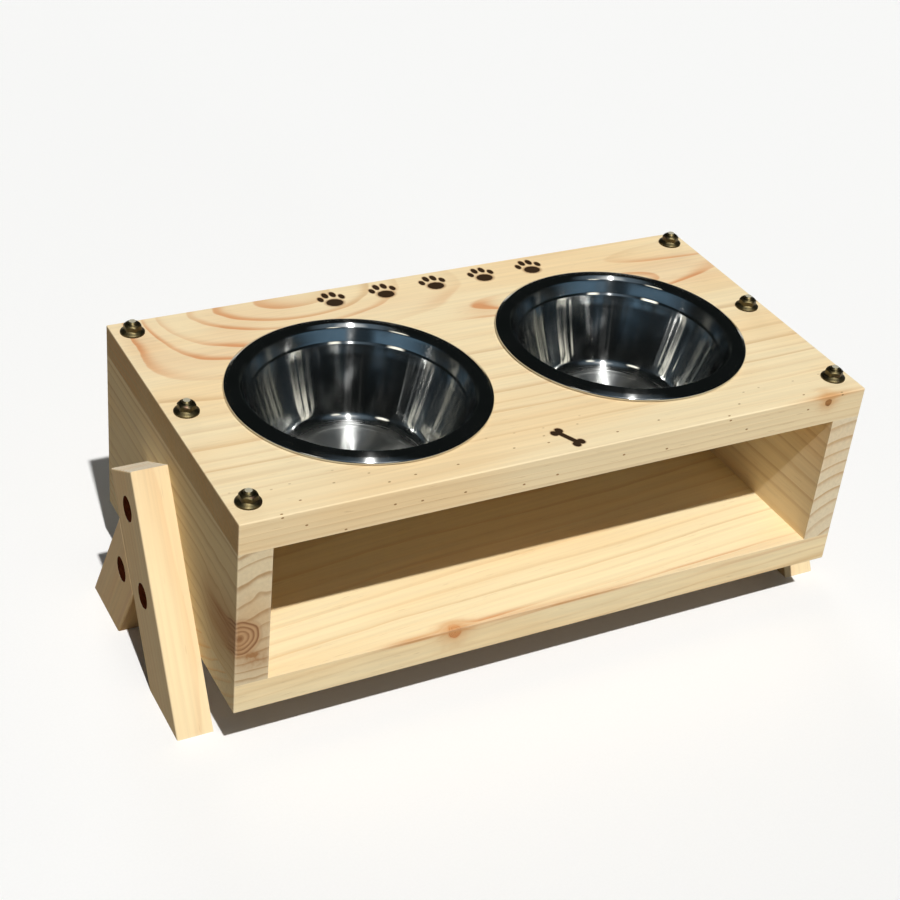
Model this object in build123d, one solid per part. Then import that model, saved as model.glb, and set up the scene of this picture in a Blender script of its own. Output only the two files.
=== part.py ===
from build123d import *
import os
from math import cos, radians, sin, tan

# An elevated feeder: two steel bowls hang in the top board of a pine case that is open at the front.
# Two pairs of leaning strips carry the case, one pair on each end.
# Millimetres. X runs along the case, the open front faces -Y, Z is up.
# The origin is on the floor, under the middle of the case.

# ---------------------------------------------------------------- driving dimensions
# case
case_length = 390.0
case_depth = 206.0
case_height = 124.0
board = 19.0                # thickness of every board of the case
eased_edge = 0.8            # radius of the sanded outer edges

# legs
floor_gap = 36.0            # from the floor to the underside of the case
strip_width = 39.0
strip_thickness = 21.0
strip_lean = 30.0           # degrees from upright
strip_length = 150.0        # along the front edge of the front strip
foot_spread = 145.0         # from the toe of the front foot to the heel of the rear foot
leg_centre_y = -3.0         # middle of the feet
strip_eased_edge = 1.0

# tie rods and their M6 flange nuts
rod_diameter = 6.0
rod_hole_diameter = 6.5
rod_inset = 11.5            # from the ends of the case
rod_front_inset = 16.5      # from the front of the case
rod_rear_inset = 12.5       # from the back of the case
rod_tip = 1.5               # length that stands out of each nut
rod_end_chamfer = 0.5
nut_across_flats = 10.0
nut_height = 6.0
nut_flange_diameter = 14.2
nut_flange_edge = 1.1       # height of the flange's outer edge
nut_flange_height = 2.1     # height at which the flange meets the hexagon
nut_top_diameter = 9.5      # flat circle left by the chamfer round the top
nut_top_slope = 30.0        # degrees, of that chamfer
nut_turn = 30.0             # degrees about the rod, so that two flats face the ends of the case
thread_clearance = 0.05     # radial, between a rod and its nut

# leg screws, countersunk under push-in caps
screw_diameter = 4.0
screw_head_diameter = 8.0
screw_rod_clearance = 0.75  # from the point of a screw to the rod hole that it stops short of
screw_point = 4.0           # length of the tapered point
screw_point_diameter = 0.8
screw_hole_clearance = 0.1  # radial, round the shank and under the head
cap_diameter = 15.0
cap_thickness = 3.0
cap_hole_clearance = 0.1    # radial
cap_hole_depth = 3.5
cap_eased_edge = 0.4
front_lower_screw = 68.0    # along the middle of the front strip, from its sole
front_upper_screw = 117.0
rear_screw = 59.0           # the same, on the rear strip, into the bottom board

# bowls, as radii and as heights above the top board
left_bowl_share = 0.29      # share of the free length of the top that is left of the left bowl
right_bowl_share = 0.26     # the same, right of the right bowl; the rest is between the bowls
left_bowl_y = -8.0
right_bowl_y = -3.0
bowl_sheet = 0.8
bowl_rest_gap = 0.3         # between the bead of the lip and the board
bead_ring_radius = 74.1
bead_radius = 1.1
lip_peak_radius = 65.6
lip_peak_height = 4.6
crease_radius = 61.0
crease_depth = 5.0
bottom_radius = 45.0
bowl_depth = 49.0
base_ring_radius = 35.5     # step pressed into the bottom
base_ring_height = 0.8
base_ring_width = 1.6
bowl_hole_clearance = 2.6   # radial, between a bowl and its hole in the board
lip_round = 1.5
crease_round = 3.0
corner_round = 7.0
ring_round = 0.9

# ---------------------------------------------------------------- heights and places
case_bottom = floor_gap
bay_floor = case_bottom + board
bay_ceiling = case_bottom + case_height - board
case_top = case_bottom + case_height
bay_height = bay_ceiling - bay_floor
bay_length = case_length - 2 * board
lean = radians(strip_lean)

rod_x = {"left": -case_length / 2 + rod_inset, "right": case_length / 2 - rod_inset}
rod_front_y = -case_depth / 2 + rod_front_inset
rod_rear_y = case_depth / 2 - rod_rear_inset
rod_y = {"front": rod_front_y, "middle": (rod_front_y + rod_rear_y) / 2, "rear": rod_rear_y}

nut_margin = rod_inset + nut_flange_diameter / 2
bowl_reach = bead_ring_radius + bead_radius
free_length = case_length - 2 * nut_margin - 4 * bowl_reach
left_bowl_x = -case_length / 2 + nut_margin + left_bowl_share * free_length + bowl_reach
right_bowl_x = case_length / 2 - nut_margin - right_bowl_share * free_length - bowl_reach
bowl_centres = {"left": (left_bowl_x, left_bowl_y), "right": (right_bowl_x, right_bowl_y)}

screw_length = strip_thickness - cap_hole_depth + rod_inset - rod_hole_diameter / 2 - screw_rod_clearance

OUTWARD = {"left": -1.0, "right": 1.0}
CENTRE_LOW = (Align.CENTER, Align.CENTER, Align.MIN)


# ---------------------------------------------------------------- case
def rod_holes(bottom, height):
    """The rod holes at both ends, as one group of cylinders."""
    drill = Cylinder(rod_hole_diameter / 2, height, align=CENTRE_LOW)
    return [Pos(x, y, bottom) * drill for x in rod_x.values() for y in rod_y.values()]


def wide_board(bottom):
    """A board as long and deep as the case, drilled for the rods, its outer edges not yet eased."""
    slab = Pos(0, 0, bottom) * Box(case_length, case_depth, board, align=CENTRE_LOW)
    return slab - rod_holes(bottom, board)


def outer_edges(solid, z):
    """The straight edges round one face of a wide board, at height z, with its upright corner edges."""
    straight = solid.edges().filter_by(GeomType.LINE)
    return straight.filter_by_position(Axis.Z, z, z) + straight.filter_by(Axis.Z)


def bowl_hole_radius():
    """Radius of the hole that clears the bowl where its upper wall passes the top of the board."""
    wall_slope = (lip_peak_radius - crease_radius) / (lip_peak_height + crease_depth)
    wall_radius = crease_radius + wall_slope * crease_depth
    return wall_radius + bowl_sheet + bowl_hole_clearance


def make_top_board():
    body = wide_board(bay_ceiling)
    body = fillet(outer_edges(body, case_top), eased_edge)
    cutter = Cylinder(bowl_hole_radius(), board, align=CENTRE_LOW)
    return body - [Pos(x, y, bay_ceiling) * cutter for x, y in bowl_centres.values()]


def make_bottom_board():
    body = wide_board(case_bottom)
    body = fillet(outer_edges(body, case_bottom), eased_edge)
    return body - [screw_bore(side, *place) for side in OUTWARD for place in screw_places().values()]


def make_end_board(side):
    x = OUTWARD[side] * (case_length - board) / 2
    body = Pos(x, 0, bay_floor) * Box(board, case_depth, bay_height, align=CENTRE_LOW)
    body -= rod_holes(bay_floor, bay_height)
    outer_uprights = body.edges().filter_by(GeomType.LINE).filter_by(Axis.Z).sort_by(Axis.X)
    pair = outer_uprights[:2] if side == "left" else outer_uprights[-2:]
    body = fillet(pair, eased_edge)
    return body - [screw_bore(side, *place) for place in screw_places().values()]


def make_back_board():
    y = case_depth / 2
    board_align = (Align.CENTER, Align.MAX, Align.MIN)
    return Pos(0, y, bay_floor) * Box(bay_length, board, bay_height, align=board_align)


# ---------------------------------------------------------------- tie rods and nuts
def make_tie_rod(side, place):
    stand_out = nut_height + rod_tip
    rod = Cylinder(rod_diameter / 2, case_height + 2 * stand_out, align=CENTRE_LOW)
    rod = chamfer(rod.edges().filter_by(GeomType.CIRCLE), rod_end_chamfer)
    return Pos(rod_x[side], rod_y[place], case_bottom - stand_out) * rod


def flange_nut():
    """A hexagon nut standing on its round flange, bore along Z, seat at z = 0."""
    outline = RegularPolygon(nut_across_flats / 2, 6, major_radius=False, rotation=nut_turn)
    hexagon = extrude(outline, nut_height)
    chamfer_reach = nut_top_diameter / 2 + nut_height / tan(radians(nut_top_slope))
    hexagon &= Cone(chamfer_reach, nut_top_diameter / 2, nut_height, align=CENTRE_LOW)
    rim = Cylinder(nut_flange_diameter / 2, nut_flange_edge, align=CENTRE_LOW)
    rise = nut_flange_height - nut_flange_edge
    shoulder = Cone(nut_flange_diameter / 2, nut_across_flats / 2, rise, align=CENTRE_LOW)
    bore = Cylinder(rod_diameter / 2 + thread_clearance, nut_height, align=CENTRE_LOW)
    return hexagon + rim + Pos(0, 0, nut_flange_edge) * shoulder - bore


def make_top_nut(side, place):
    return Pos(rod_x[side], rod_y[place], case_top) * flange_nut()


def make_bottom_nut(side, place):
    return Pos(rod_x[side], rod_y[place], case_bottom) * Rot(180, 0, 0) * flange_nut()


# ---------------------------------------------------------------- bowls
def bowl_wall():
    """The pressed sheet from the middle of the bottom up to the bead, as a half section in XZ."""
    ring_outer = base_ring_radius + base_ring_width / 2
    ring_inner = base_ring_radius - base_ring_width / 2
    inside = FilletPolyline(
        (0, -bowl_depth + base_ring_height),
        (ring_inner, -bowl_depth + base_ring_height),
        (ring_outer, -bowl_depth),
        (bottom_radius, -bowl_depth),
        (crease_radius, -crease_depth),
        (lip_peak_radius, lip_peak_height),
        (bead_ring_radius - bead_radius / 2, bowl_rest_gap + 2 * bead_radius - bowl_sheet / 4),
        radius=[ring_round, ring_round, corner_round, crease_round, lip_round],
    )
    section = offset(inside, amount=bowl_sheet, side=Side.RIGHT, closed=True)
    return make_face(section)


def make_bowl(side):
    """Sheet and bead turned about Z; the bead keeps a small gap from the board under it."""
    bead_middle = bowl_rest_gap + bead_radius
    section = Plane.XZ * (bowl_wall() + Pos(bead_ring_radius, bead_middle) * Circle(bead_radius))
    x, y = bowl_centres[side]
    return Pos(x, y, case_top) * revolve(section, Axis.Z)


# ---------------------------------------------------------------- legs
def foot_width():
    """Length of the level sole that a leaning strip stands on."""
    return strip_width / cos(lean)


def strip_point(foot_middle, direction, along):
    """Point (y, z) on the middle line of a strip, a length along it from its sole.

    direction is +1 for the front strip, which leans back as it rises, and -1 for the rear one.
    """
    return foot_middle + direction * along * sin(lean), along * cos(lean)


front_foot_y = leg_centre_y - foot_spread / 2 + foot_width() / 2
rear_foot_y = leg_centre_y + foot_spread / 2 - foot_width() / 2


def front_strip_outline():
    """(y, z) corners: level sole, square top."""
    toe = (front_foot_y - foot_width() / 2, 0)
    heel = (front_foot_y + foot_width() / 2, 0)
    top_front = (toe[0] + strip_length * sin(lean), strip_length * cos(lean))
    top_back = (top_front[0] + strip_width * cos(lean), top_front[1] - strip_width * sin(lean))
    return [toe, heel, top_back, top_front]


def rear_strip_outline():
    """(y, z) corners: level sole, upper end cut to lie along the back of the front strip."""
    toe = rear_foot_y - foot_width() / 2
    heel = rear_foot_y + foot_width() / 2
    front_strip_heel = front_foot_y + foot_width() / 2
    crotch_z = (toe - front_strip_heel) / (2 * tan(lean))
    notch_z = (heel - front_strip_heel) / (2 * tan(lean))
    crotch = (front_strip_heel + crotch_z * tan(lean), crotch_z)
    notch = (front_strip_heel + notch_z * tan(lean), notch_z)
    return [(toe, 0), (heel, 0), notch, crotch]


def screw_places():
    """(y, z) of each leg screw, by name."""
    return {
        "front_lower": strip_point(front_foot_y, 1, front_lower_screw),
        "front_upper": strip_point(front_foot_y, 1, front_upper_screw),
        "rear": strip_point(rear_foot_y, -1, rear_screw),
    }


def outer_face_x(side):
    return OUTWARD[side] * (case_length / 2 + strip_thickness)


def facing_inward(side, y, z):
    """Place whose +Z runs from the outer face of a leg straight into the case."""
    plane = Plane(origin=(outer_face_x(side), y, z), x_dir=(0, 1, 0), z_dir=(-OUTWARD[side], 0, 0))
    return plane.location


def screw_shape(clearance):
    """Countersunk screw from its head at z = 0 to its blunt point, grown all round by a clearance."""
    shank = screw_diameter / 2 + clearance
    head = screw_head_diameter / 2 + clearance
    point = screw_point_diameter / 2 + clearance
    end = screw_length + clearance
    corners = [(0, 0), (head, 0), (shank, head - shank), (shank, end - screw_point), (point, end), (0, end)]
    return revolve(Plane.XZ * make_face(Polyline(*corners, close=True)), Axis.Z)


def screw_bore(side, y, z):
    """Countersunk hole for one screw, which starts at the floor of the cap's recess."""
    return facing_inward(side, y, z) * Pos(0, 0, cap_hole_depth) * screw_shape(screw_hole_clearance)


def cap_recess(side, y, z):
    recess = Cylinder(cap_diameter / 2 + cap_hole_clearance, cap_hole_depth, align=CENTRE_LOW)
    return facing_inward(side, y, z) * recess


def make_strip(side, outline, screws):
    """One strip of a pair, with a recess and a bore at each of its named screws."""
    inner = OUTWARD[side] * case_length / 2
    plane = Plane(origin=(inner, 0, 0), x_dir=(0, 1, 0), z_dir=(1, 0, 0))
    blank = extrude(plane * make_face(Polyline(*outline, close=True)), OUTWARD[side] * strip_thickness)
    outer = outer_face_x(side)
    face_edges = blank.edges().filter_by_position(Axis.X, outer, outer)
    strip = fillet(face_edges.filter_by(lambda edge: edge.center().Z > strip_eased_edge), strip_eased_edge)
    places = [screw_places()[screw] for screw in screws]
    strip -= [cap_recess(side, *place) for place in places]
    return strip - [screw_bore(side, *place) for place in places]


def make_front_leg(side):
    return make_strip(side, front_strip_outline(), ["front_lower", "front_upper"])


def make_rear_leg(side):
    return make_strip(side, rear_strip_outline(), ["rear"])


def make_leg_screw(side, place):
    return facing_inward(side, *place) * Pos(0, 0, cap_hole_depth) * screw_shape(0)


def make_leg_cap(side, place):
    """Round cap that closes a screw's recess, its face level with the strip."""
    cap = Cylinder(cap_diameter / 2, cap_thickness, align=CENTRE_LOW)
    rim = cap.edges().filter_by(GeomType.CIRCLE).sort_by(Axis.Z)[0]
    return facing_inward(side, *place) * fillet(rim, cap_eased_edge)


# ---------------------------------------------------------------- all nodes
def make_nodes():
    nodes = {
        "top_board": make_top_board(),
        "bottom_board": make_bottom_board(),
        "back_board": make_back_board(),
    }
    for side in OUTWARD:
        nodes[f"{side}_end_board"] = make_end_board(side)
        nodes[f"{side}_front_leg"] = make_front_leg(side)
        nodes[f"{side}_rear_leg"] = make_rear_leg(side)
        nodes[f"{side}_bowl"] = make_bowl(side)
        for place in rod_y:
            nodes[f"{side}_{place}_tie_rod"] = make_tie_rod(side, place)
            nodes[f"{side}_{place}_top_nut"] = make_top_nut(side, place)
            nodes[f"{side}_{place}_bottom_nut"] = make_bottom_nut(side, place)
        for screw, place in screw_places().items():
            nodes[f"{side}_{screw}_leg_screw"] = make_leg_screw(side, place)
            nodes[f"{side}_{screw}_leg_cap"] = make_leg_cap(side, place)
    return nodes


os.makedirs("parts", exist_ok=True)
for node, solid in make_nodes().items():
    export_step(solid, f"parts/{node}.step")
    size = solid.bounding_box().size
    print(f"{node}: {size.X:.1f} x {size.Y:.1f} x {size.Z:.1f} mm")
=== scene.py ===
# %% [markdown]
# # An elevated pet feeder with a storage bay
# Two steel bowls hang in the top board of a small pine case, which is open at the front.
# Steel rods with flange nuts clamp the case together, and leaning strips carry it off the floor.
# The solids come packed from the CAD model. Boards, strips, screws and caps keep their CAD shape
# and get a finish here, while bowls, nuts and threaded rods are drawn again in finer detail.

import bpy
import numpy as np
from mathutils import Matrix, Vector


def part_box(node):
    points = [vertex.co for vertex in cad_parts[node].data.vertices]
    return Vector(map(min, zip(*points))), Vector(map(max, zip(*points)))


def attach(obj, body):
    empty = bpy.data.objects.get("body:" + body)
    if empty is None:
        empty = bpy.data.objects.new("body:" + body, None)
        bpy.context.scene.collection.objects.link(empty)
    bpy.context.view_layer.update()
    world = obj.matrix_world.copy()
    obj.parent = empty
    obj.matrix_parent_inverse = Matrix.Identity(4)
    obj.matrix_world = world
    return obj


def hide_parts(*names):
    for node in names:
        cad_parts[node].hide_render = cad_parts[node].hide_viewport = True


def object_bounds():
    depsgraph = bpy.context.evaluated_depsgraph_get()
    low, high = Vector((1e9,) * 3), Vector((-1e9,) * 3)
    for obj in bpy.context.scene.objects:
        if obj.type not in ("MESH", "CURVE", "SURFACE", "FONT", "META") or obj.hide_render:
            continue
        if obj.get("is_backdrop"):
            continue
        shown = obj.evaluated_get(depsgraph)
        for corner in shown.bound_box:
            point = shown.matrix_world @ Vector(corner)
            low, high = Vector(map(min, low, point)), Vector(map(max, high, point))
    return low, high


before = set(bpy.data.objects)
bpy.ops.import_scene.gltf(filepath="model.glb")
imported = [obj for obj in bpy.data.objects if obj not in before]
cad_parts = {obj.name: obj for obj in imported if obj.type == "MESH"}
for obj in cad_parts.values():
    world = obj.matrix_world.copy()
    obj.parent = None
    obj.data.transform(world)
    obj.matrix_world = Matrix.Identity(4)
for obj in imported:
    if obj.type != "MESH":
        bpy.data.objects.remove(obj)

cad_box = [list(corner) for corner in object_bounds()]
print("CAD box, m:", [[round(value, 4) for value in corner] for corner in cad_box])


# %% [markdown]
# ## Camera
# The view is from the front left, above the case, through a long lens. A camera is fully given by
# its place and by three directions: right, up and backwards, which Blender keeps in the columns of
# the camera's matrix. Writing them down is more exact than aiming the camera at a point, because
# this view is also rolled by six degrees.

# %% Camera
CAMERA_PLACE = Vector((-0.47056, -0.76671, 0.68944))
VIEW_RIGHT = Vector((0.88673, -0.45373, 0.08855))
VIEW_FORWARD = Vector((0.42270, 0.71823, -0.55270))
FOCAL_LENGTH = 72.14
SENSOR_WIDTH = 36.0


def make_camera():
    """A camera whose X axis is close to VIEW_RIGHT and whose -Z axis is VIEW_FORWARD."""
    lens = bpy.data.cameras.new("camera")
    lens.sensor_width = SENSOR_WIDTH
    lens.lens = FOCAL_LENGTH
    camera = bpy.data.objects.new("camera", lens)
    bpy.context.scene.collection.objects.link(camera)
    back = -VIEW_FORWARD.normalized()
    up = back.cross(VIEW_RIGHT).normalized()
    axes = Matrix((up.cross(back), up, back)).transposed()
    camera.matrix_world = Matrix.Translation(CAMERA_PLACE) @ axes.to_4x4()
    bpy.context.scene.camera = camera


make_camera()
print("camera distance from the origin, m:", round(CAMERA_PLACE.length, 3))


# %% [markdown]
# ## Short calls for wiring nodes
# A material is a graph of nodes with numbered inputs and outputs. Adding each node by hand takes
# four or five lines, so these helpers add one, set it, feed it, and hand back its output as a
# `Wire`. Wires can be added, multiplied and so on, and a material then reads like a formula. Colours
# are written as 0-255 screen values and turned into the linear light that the renderer works in.

# %% Wires
class Wire:
    """One output of a node. Arithmetic with it adds a node and gives the wire that comes out of that."""

    def __init__(self, socket, tree):
        self.socket = socket
        self.tree = tree

    def step(self, operation, first, second):
        """Works on all three axes if this wire is a vector or a colour, otherwise on one number."""
        return (calc if self.socket.type == "VALUE" else vector)(operation, first, second)

    def __add__(self, other):
        return self.step("ADD", self, other)

    def __sub__(self, other):
        return self.step("SUBTRACT", self, other)

    def __rsub__(self, other):
        return self.step("SUBTRACT", other, self)

    def __mul__(self, other):
        return self.step("MULTIPLY", self, other)

    def __truediv__(self, other):
        return self.step("DIVIDE", self, other)

    def __rtruediv__(self, other):
        return self.step("DIVIDE", other, self)

    __radd__ = __add__
    __rmul__ = __mul__


def tree_of(values):
    """The tree that the first wire among some values lies in."""
    return next(value.tree for value in values if isinstance(value, Wire))


def wires_from(node, tree):
    """A node's outputs, by number and by name."""
    wires = [Wire(socket, tree) for socket in node.outputs]
    return dict(enumerate(wires)) | {wire.socket.name: wire for wire in wires}


def feed(node, feeds):
    """Gives a node's inputs, by number or name, a value or a wire from another node's output."""
    for key, value in dict(feeds).items():
        if isinstance(value, Wire):
            value.tree.links.new(value.socket, node.inputs[key])
        else:
            node.inputs[key].default_value = value


def add(tree, kind, feeds=(), out=0, **settings):
    """Adds one node, sets it, feeds it, and returns one of its outputs, or all of them at out=None."""
    node = tree.nodes.new("ShaderNode" + kind)
    for name, value in settings.items():
        setattr(node, name, value)
    feed(node, feeds)
    wires = wires_from(node, tree)
    return wires if out is None else wires[out]


print("wires ready")


# %% Wiring helpers
def calc(operation, *values, clamp=False):
    """One step of arithmetic on numbers."""
    return add(tree_of(values), "Math", enumerate(values), operation=operation, use_clamp=clamp)


def vector(operation, *values, out=0):
    """One step of arithmetic on vectors; LENGTH and DOT_PRODUCT give their number at out=1."""
    return add(tree_of(values), "VectorMath", enumerate(values), out=out, operation=operation)


def scaled(value, factor):
    """A vector times a number."""
    return add(value.tree, "VectorMath", {0: value, "Scale": factor}, operation="SCALE")


def towards(look, direction):
    """The cosine of the angle between a unit vector and a direction of any length."""
    return vector("DOT_PRODUCT", look, tuple(Vector(direction).normalized()), out=1)


def parts_of(value):
    """The X, Y and Z of a vector."""
    parts = add(value.tree, "SeparateXYZ", {0: value}, out=None)
    return [parts[axis] for axis in "XYZ"]


def ramp(value, low, high, start=0.0, end=1.0):
    """start up to low, end beyond high, and an S curve between them."""
    feeds = {"Value": value, "From Min": low, "From Max": high, "To Min": start, "To Max": end}
    return add(value.tree, "MapRange", feeds, interpolation_type="SMOOTHSTEP")


def blend(factor, first, second, how="MIX"):
    """Mixes two colours, or multiplies the first by the second with how="MULTIPLY"."""
    feeds = {0: factor, 6: first, 7: second}
    return add(tree_of(feeds.values()), "Mix", feeds, out=2, data_type="RGBA", blend_type=how)


def noise(place, lumps, detail=2.0, out=0):
    """Soft random values round 0.5, with so many lumps a metre on each axis; colours at out=1."""
    feeds = {"Vector": place * lumps, "Scale": 1.0, "Detail": detail}
    return add(place.tree, "TexNoise", feeds, out=out)


def screen(red, green, blue):
    """A 0-255 screen colour as linear light, with alpha 1."""
    share = np.array([red, green, blue]) / 255
    linear = np.where(share <= 0.04045, share / 12.92, ((share + 0.055) / 1.055) ** 2.4)
    return (*linear.tolist(), 1.0)


print("mid grey as linear light:", round(screen(128, 128, 128)[0], 3))


# %% Groups and materials
SOCKETS = {1: "NodeSocketFloat", 3: "NodeSocketVector", 4: "NodeSocketColor"}


def new_group(name, inputs, outputs):
    """A shader node group. An input's default says what kind it is; only Colour puts out a colour."""
    tree = bpy.data.node_groups.new(name, "ShaderNodeTree")
    for label, default in inputs.items():
        kind = SOCKETS[np.size(default)]
        tree.interface.new_socket(label, in_out="INPUT", socket_type=kind).default_value = default
    for label in outputs:
        kind = SOCKETS[4 if label == "Colour" else 1]
        tree.interface.new_socket(label, in_out="OUTPUT", socket_type=kind)
    enter = wires_from(tree.nodes.new("NodeGroupInput"), tree)
    return tree, enter, tree.nodes.new("NodeGroupOutput")


def spaced(feeds):
    """The same feeds with a space for each underscore in their names."""
    return {label.replace("_", " "): value for label, value in feeds.items()}


def use_group(group, **feeds):
    """Places a group in a material and returns its outputs. An underscore stands for a space."""
    tree = tree_of(feeds.values())
    node = tree.nodes.new("ShaderNodeGroup")
    node.node_tree = group
    feed(node, spaced(feeds))
    return wires_from(node, tree)


def new_material(name):
    """An empty material with a Principled BSDF wired to its output."""
    material = bpy.data.materials.new(name)
    material.use_nodes = True
    return material, material.node_tree, material.node_tree.nodes["Principled BSDF"]


def finish_surface(shader, height, distance, **feeds):
    """Feeds a Principled BSDF, and bends its normal by a height map that is distance metres high."""
    normal = add(height.tree, "Bump", {"Height": height, "Distance": distance, "Strength": 1.0})
    feed(shader, {"Normal": normal, **spaced(feeds)})


print("wiring helpers ready")


# %% [markdown]
# ## Local marks: a soft lump and a knot
# Several finishes need something that happens at one place only. `lump` is a soft blob: one at its
# centre, fading to nothing over its reach. `knot` is a branch that the tree grew round: a thin rod
# through the board with rings of its own, a dark rim, and a halo of stained wood. Both work on
# distances in space, so where a knot comes out at an edge it shows on both faces, as in real wood.

# %% Group: lump
def build_lump():
    """exp(-d*d), where d is the distance from the centre with each axis divided by its reach."""
    inputs = {"Place": (0, 0, 0), "Centre": (0, 0, 0), "Reach": (1, 1, 1)}
    tree, enter, leave = new_group("lump", inputs, ["Amount"])
    away = (enter["Place"] - enter["Centre"]) / enter["Reach"]
    squared = vector("DOT_PRODUCT", away, away, out=1)
    feed(leave, {"Amount": calc("EXPONENT", squared * -1.0)})
    return tree


lump = build_lump()


# %% Group: knot
def build_knot():
    """Works on the distance from the branch's middle line, which a noise makes a little uneven."""
    inputs = {"Place": (0, 0, 0), "Centre": (0, 0, 0), "Direction": (0, 1, 0), "Radius": 0.01, "Length": 0.05}
    tree, enter, leave = new_group("knot", inputs, ["Core", "Rings", "Halo"])
    away = enter["Place"] - enter["Centre"]
    along = vector("DOT_PRODUCT", away, enter["Direction"], out=1)
    distance = vector("LENGTH", away - scaled(enter["Direction"], along), out=1)
    steps = scaled(away, 0.8 / enter["Radius"])
    wobble = noise(steps, (1, 1, 1), 1.0) * 0.55 + 0.72
    radii = distance / enter["Radius"] * wobble
    depth = calc("ABSOLUTE", along) / enter["Length"]
    present = ramp(depth, 0.6, 1.0, 1.0, 0.0)
    inside = ramp(radii, 0.80, 1.12, 1.0, 0.0)
    core = inside * ramp(depth, 0.10, 0.60, 1.0, 0.0)
    ring = calc("FRACT", radii * 4.4)
    line = (ramp(ring, 0.15, 0.75) - ramp(ring, 0.75, 1.0)) * (radii * 0.6 + 0.4)
    dark = calc("MAXIMUM", line, ramp(radii, 0.05, 0.25, 1.0, 0.0))
    dark = dark * ramp(depth, 0.02, 0.35, 1.0, 0.25)
    fade = calc("EXPONENT", calc("POWER", radii, 2.0) * -0.22)
    feed(leave, {"Core": core, "Rings": dark, "Halo": fade * present})
    return tree


knot = build_knot()
print("groups:", [group.name for group in bpy.data.node_groups])


# %% [markdown]
# ## The figure of pine
# A board is a slice of a trunk, and its pattern is the trunk's yearly rings cut by the saw. So the
# pattern is worked out in space: how far is this point from the pith, the middle line of the trunk?
# Divided by the ring width, that distance counts years. The same rule then gives straight lines on
# a board sawn beside the pith, arches where it passes near it, and arcs on the sawn ends, and they
# all meet at the edges. Painting each face apart would never match up like that.
#
# `pine_figure` works in the trunk's own frame, X along the grain and the pith on X. Slow noise lets
# the rings drift, since no trunk is a perfect cylinder. Summer wood darkens slowly through the year
# and ends at a sharp line. Fibres and resin canals are noises stretched along the grain.
# Growth beyond the CAD box

# %% How far the drawn model reaches beyond the CAD box on each side is printed, in millimetres.
def ring_count(place, drift, shift, width):
    """Years from the pith: the distance from the X axis, uneven along the trunk, over the ring width."""
    middle = (0.5, 0.5, 0.5)
    slow = noise(place, (4, 14, 14), 1.0, out=1) - middle
    quick = noise(place, (22, 95, 95), 1.0, out=1) - middle
    across = (place + scaled(slow + scaled(quick, 0.12), drift)) * (0, 1, 1)
    years = (vector("LENGTH", across, out=1) + shift) / width
    beat = add(years.tree, "TexNoise", {"W": years * 0.45, "Scale": 1.0}, noise_dimensions="1D")
    return years + beat * 1.1


FIGURE = ["Late", "Year", "Fibre", "Broad", "Canal"]


def build_pine_figure():
    """Late: summer wood. Year: a random value for each ring. Fibre, Broad, Canal: stretched noises."""
    inputs = {"Place": (0, 0, 0), "Drift": 0.012, "Shift": 0.0, "Ring Width": 0.006}
    tree, enter, leave = new_group("pine_figure", inputs, FIGURE)
    place = enter["Place"]
    years = ring_count(place, enter["Drift"], enter["Shift"], enter["Ring Width"])
    season = calc("FRACT", years)
    rise = calc("POWER", ramp(season, 0.40, 0.92), 2.6)
    late = rise * ramp(season, 0.93, 1.0, 1.0, 0.0)
    year = add(tree, "TexWhiteNoise", {"W": calc("FLOOR", years)}, noise_dimensions="1D")
    fibre = noise(place, (9, 420, 420), 4.0)
    broad = noise(place, (5, 22, 22))
    canal = ramp(noise(place, (70, 1100, 1100), 1.0), 0.70, 0.78)
    feed(leave, {"Late": late, "Year": year, "Fibre": fibre, "Broad": broad, "Canal": canal})
    return tree


pine_figure = build_pine_figure()


# %% [markdown]
# ## Pale edges (sanding and a painted highlight) and resin specks
# `board_edges` finds how near a point is to the nearest of a board's twelve edges, from the board's
# two corners. The distance to an edge is the second smallest of the distances to the three nearest
# faces. Sanding rounds the edges and leaves them a little paler. The same paleness is also a painted
# highlight where light catches the rounded edges, and that is what it is used for.
# `resin_specks` scatters small dark dots: space is cut into random cells, and a dot shows at the
# middle of most of them.

# %% Groups: board_edges and resin_specks
def build_board_edges():
    """One at the edges of the box from Low to High, fading to zero over Width."""
    inputs = {"Place": (0, 0, 0), "Low": (0, 0, 0), "High": (1, 1, 1), "Width": 0.0012}
    tree, enter, leave = new_group("board_edges", inputs, ["Amount"])
    from_low = vector("ABSOLUTE", enter["Place"] - enter["Low"])
    from_high = vector("ABSOLUTE", enter["High"] - enter["Place"])
    x, y, z = parts_of(vector("MINIMUM", from_low, from_high))
    second = calc("MAXIMUM", calc("MINIMUM", x, y), calc("MINIMUM", calc("MAXIMUM", x, y), z))
    uneven = noise(enter["Place"], (130, 130, 130))
    feed(leave, {"Amount": ramp(second / (enter["Width"] * uneven), 0.8, 2.6, 1.0, 0.0)})
    return tree


def build_resin_specks():
    """A dot of Size in most cells of a flat Voronoi pattern, which is folded over an edge.

    The pattern lies in X and Y minus Z, so it covers upper and front faces alike.
    """
    inputs = {"Place": (0, 0, 0), "Size": 0.050}
    tree, enter, leave = new_group("resin_specks", inputs, ["Amount"])
    x, y, z = parts_of(enter["Place"] * (48, 80, 80))
    fold = add(tree, "CombineXYZ", {0: x, 1: y - z})
    cell = add(tree, "TexVoronoi", {"Vector": fold, "Scale": 1.0}, out=None, voronoi_dimensions="2D")
    dot = ramp(cell["Distance"], enter["Size"] * 0.5, enter["Size"], 1.0, 0.0)
    chosen = calc("GREATER_THAN", parts_of(cell["Color"])[0], 0.35)
    feed(leave, {"Amount": dot * chosen})
    return tree


board_edges = build_board_edges()
resin_specks = build_resin_specks()
print("groups:", [group.name for group in bpy.data.node_groups])


# %% [markdown]
# ## The colour of pine
# `pine_colour` turns the figure into a surface. Spring wood is cream, summer wood is tan, and each
# year is darkened by its own amount. Where the saw cut across the fibres, the open ends drink the
# oil and look darker and greyer. `End` says where that is, from the direction that the face looks.

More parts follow.
